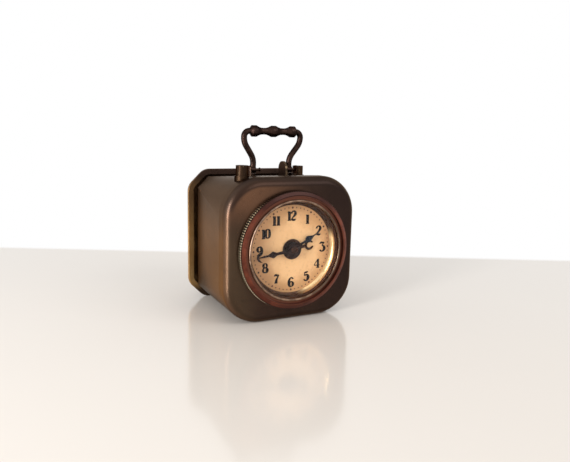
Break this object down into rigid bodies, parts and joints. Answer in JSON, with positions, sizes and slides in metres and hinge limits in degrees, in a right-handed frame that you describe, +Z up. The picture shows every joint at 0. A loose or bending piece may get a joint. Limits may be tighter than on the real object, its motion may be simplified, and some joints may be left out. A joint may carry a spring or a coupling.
{
  "type": "table alarm clock",
  "caption": "Small antique brass table alarm clock with a pillow-fronted square case, knurled bezel, cream dial, rear bell and folding bail handle",
  "frame": {"origin": "centre of the flat land under the front of the case, on the floor", "axes": "+X right as seen from the front, +Y towards the back, +Z up"},
  "size_m": [0.0604, 0.0672, 0.0803],
  "materials": {
    "case_brass": "aged bronze-brown patina over spun brass, worn golden at the edges",
    "bell_brass": "worn yellow-brown brass, dark towards the top",
    "copper_ring": "red copper tone face of the bezel with a yellow knurled edge",
    "bright_brass": "bright polished brass",
    "dark_brass": "dark brown patina",
    "glass": "clear flat glass",
    "dial_cream": "aged cream enamel paint, warm towards the edge",
    "hand_dark": "dark blue-brown heat-tinted steel hands",
    "plate_brass": "plain machined brass movement parts",
    "steel": "plain steel arbors, springs and screws"
  },
  "bodies": {
    "case": {"case_body": "case_brass", "back_cover": "plate_brass", "bell": "bell_brass", "bell_stud": "steel", "bell_nut": "plate_brass", "bezel_ring": "copper_ring", "sight_ring": "bright_brass", "glass_crystal": "glass", "dial_ring": "bright_brass", "dial_plate": "dial_cream", "front_plate": "plate_brass", "back_plate": "plate_brass", "plate_pillars": "plate_brass", "pillar_nuts": "plate_brass", "movement_feet": "plate_brass", "movement_screws": "steel", "balance_cock": "plate_brass", "handle_bracket_left": "dark_brass", "handle_bracket_right": "dark_brass", "hinge_pins": "dark_brass", "post_left": "dark_brass", "post_right": "dark_brass"},
    "handle": {"handle_bail": "dark_brass", "handle_grip": "dark_brass"},
    "stop_lever": {"alarm_stop_lever": "dark_brass"},
    "minute_train": {"cannon_pinion": "plate_brass", "minute_hand": "hand_dark", "hand_cap": "hand_dark"},
    "centre": {"centre_wheel": "plate_brass"},
    "hour_train": {"hour_wheel": "plate_brass", "hour_hand": "hand_dark"},
    "alarm_setting": {"alarm_wheel": "plate_brass", "alarm_hand": "hand_dark"},
    "minute_wheel_body": {"minute_wheel": "plate_brass"},
    "time_setter": {"time_set_arbor": "steel", "time_set_knob": "plate_brass"},
    "alarm_setter": {"alarm_set_arbor": "steel", "alarm_set_knob": "plate_brass"},
    "going_wheel": {"going_main_wheel": "plate_brass"},
    "going_winder": {"going_arbor": "steel", "going_ratchet": "steel", "going_key": "plate_brass", "going_mainspring": "steel"},
    "going_click_body": {"going_click": "steel"},
    "third": {"third_wheel": "plate_brass"},
    "fourth": {"fourth_wheel": "plate_brass"},
    "escape": {"escape_wheel": "plate_brass"},
    "lever": {"pallet_lever": "steel"},
    "balance": {"balance_wheel": "plate_brass", "hairspring": "steel"},
    "regulator": {"regulator_index": "steel"},
    "alarm_wheel_body": {"alarm_main_wheel": "plate_brass"},
    "alarm_winder": {"alarm_arbor": "steel", "alarm_ratchet": "steel", "alarm_key": "plate_brass", "alarm_mainspring": "steel"},
    "alarm_click_body": {"alarm_click": "steel"},
    "alarm_escape": {"alarm_escape_wheel": "plate_brass"},
    "hammer": {"alarm_hammer": "steel"}
  },
  "joints": [
    {"name": "handle_fold", "type": "hinge", "parent": "case", "child": "handle", "pos_m": [0, 0.0156, 0.0616], "axis": [1, 0, 0], "range_deg": [-85, 85]},
    {"name": "stop_tilt", "type": "hinge", "parent": "case", "child": "stop_lever", "pos_m": [0.005, 0.0156, 0.046], "axis": [1, 0, 0], "range_deg": [-7, 7]},
    {"name": "minute_turn", "type": "hinge", "parent": "case", "child": "minute_train", "pos_m": [0, -0.0037, 0.03], "axis": [0, -1, 0], "continuous": true},
    {"name": "hour_turn", "type": "hinge", "parent": "case", "child": "hour_train", "pos_m": [0, -0.0032, 0.03], "axis": [0, -1, 0], "continuous": true},
    {"name": "minute_wheel_turn", "type": "hinge", "parent": "case", "child": "minute_wheel_body", "pos_m": [-0.00573, 0.0013, 0.03435], "axis": [0, -1, 0], "continuous": true},
    {"name": "time_knob_turn", "type": "hinge", "parent": "case", "child": "time_setter", "pos_m": [-0.01147, 0.0129, 0.03871], "axis": [0, -1, 0], "continuous": true},
    {"name": "alarm_set_turn", "type": "hinge", "parent": "case", "child": "alarm_setting", "pos_m": [0, -0.0027, 0.03], "axis": [0, -1, 0], "continuous": true},
    {"name": "alarm_knob_turn", "type": "hinge", "parent": "case", "child": "alarm_setter", "pos_m": [0.00779, 0.0129, 0.0345], "axis": [0, -1, 0], "continuous": true},
    {"name": "going_wheel_turn", "type": "hinge", "parent": "case", "child": "going_wheel", "pos_m": [-0.0123, 0.0045, 0.02073], "axis": [0, -1, 0], "continuous": true},
    {"name": "centre_turn", "type": "hinge", "parent": "case", "child": "centre", "pos_m": [0, 0.0129, 0.03], "axis": [0, -1, 0], "continuous": true},
    {"name": "third_turn", "type": "hinge", "parent": "case", "child": "third", "pos_m": [-0.00141, 0.0129, 0.03798], "axis": [0, -1, 0], "continuous": true},
    {"name": "fourth_turn", "type": "hinge", "parent": "case", "child": "fourth", "pos_m": [0.00478, 0.0129, 0.04155], "axis": [0, -1, 0], "continuous": true},
    {"name": "escape_turn", "type": "hinge", "parent": "case", "child": "escape", "pos_m": [0.0014, 0.0129, 0.04739], "axis": [0, -1, 0], "continuous": true},
    {"name": "lever_rock", "type": "hinge", "parent": "case", "child": "lever", "pos_m": [0.0079, 0.0129, 0.04854], "axis": [0, -1, 0], "range_deg": [-3, 3]},
    {"name": "balance_swing", "type": "hinge", "parent": "case", "child": "balance", "pos_m": [0.01328, 0.0129, 0.04317], "axis": [0, -1, 0], "range_deg": [-200, 200], "stiffness_Nm_per_rad": 0.0000025},
    {"name": "regulator_turn", "type": "hinge", "parent": "case", "child": "regulator", "pos_m": [0.01328, 0.0251, 0.04317], "axis": [0, -1, 0], "range_deg": [-25, 25]},
    {"name": "going_wind", "type": "hinge", "parent": "case", "child": "going_winder", "pos_m": [-0.0123, 0.0129, 0.02073], "axis": [0, -1, 0], "continuous": true},
    {"name": "going_click_lift", "type": "hinge", "parent": "going_wheel", "child": "going_click_body", "pos_m": [-0.00806, 0.0056, 0.02498], "axis": [0, -1, 0], "range_deg": [0, 12]},
    {"name": "alarm_wheel_turn", "type": "hinge", "parent": "case", "child": "alarm_wheel_body", "pos_m": [0.0123, 0.0203, 0.02073], "axis": [0, -1, 0], "continuous": true},
    {"name": "alarm_escape_turn", "type": "hinge", "parent": "case", "child": "alarm_escape", "pos_m": [0.00083, 0.0129, 0.0127], "axis": [0, -1, 0], "continuous": true},
    {"name": "alarm_wind", "type": "hinge", "parent": "case", "child": "alarm_winder", "pos_m": [0.0123, 0.0129, 0.02073], "axis": [0, -1, 0], "continuous": true},
    {"name": "alarm_click_lift", "type": "hinge", "parent": "alarm_wheel_body", "child": "alarm_click_body", "pos_m": [0.01654, 0.0192, 0.02498], "axis": [0, -1, 0], "range_deg": [0, 12]},
    {"name": "hammer_rock", "type": "hinge", "parent": "case", "child": "hammer", "pos_m": [-0.00089, 0.0129, 0.00822], "axis": [0, -1, 0], "range_deg": [-3, 3]}
  ],
  "couplings": [
    {"joint": "hour_turn", "follows": "minute_turn", "ratio": 0.083333},
    {"joint": "minute_wheel_turn", "follows": "minute_turn", "ratio": -0.33333},
    {"joint": "time_knob_turn", "follows": "minute_turn", "ratio": 1},
    {"joint": "alarm_knob_turn", "follows": "alarm_set_turn", "ratio": -1.1429},
    {"joint": "going_wheel_turn", "follows": "third_turn", "ratio": 0.020833},
    {"joint": "centre_turn", "follows": "third_turn", "ratio": -0.125},
    {"joint": "fourth_turn", "follows": "third_turn", "ratio": -7.5},
    {"joint": "escape_turn", "follows": "third_turn", "ratio": 60},
    {"joint": "alarm_escape_turn", "follows": "alarm_wheel_turn", "ratio": -6}
  ]
}
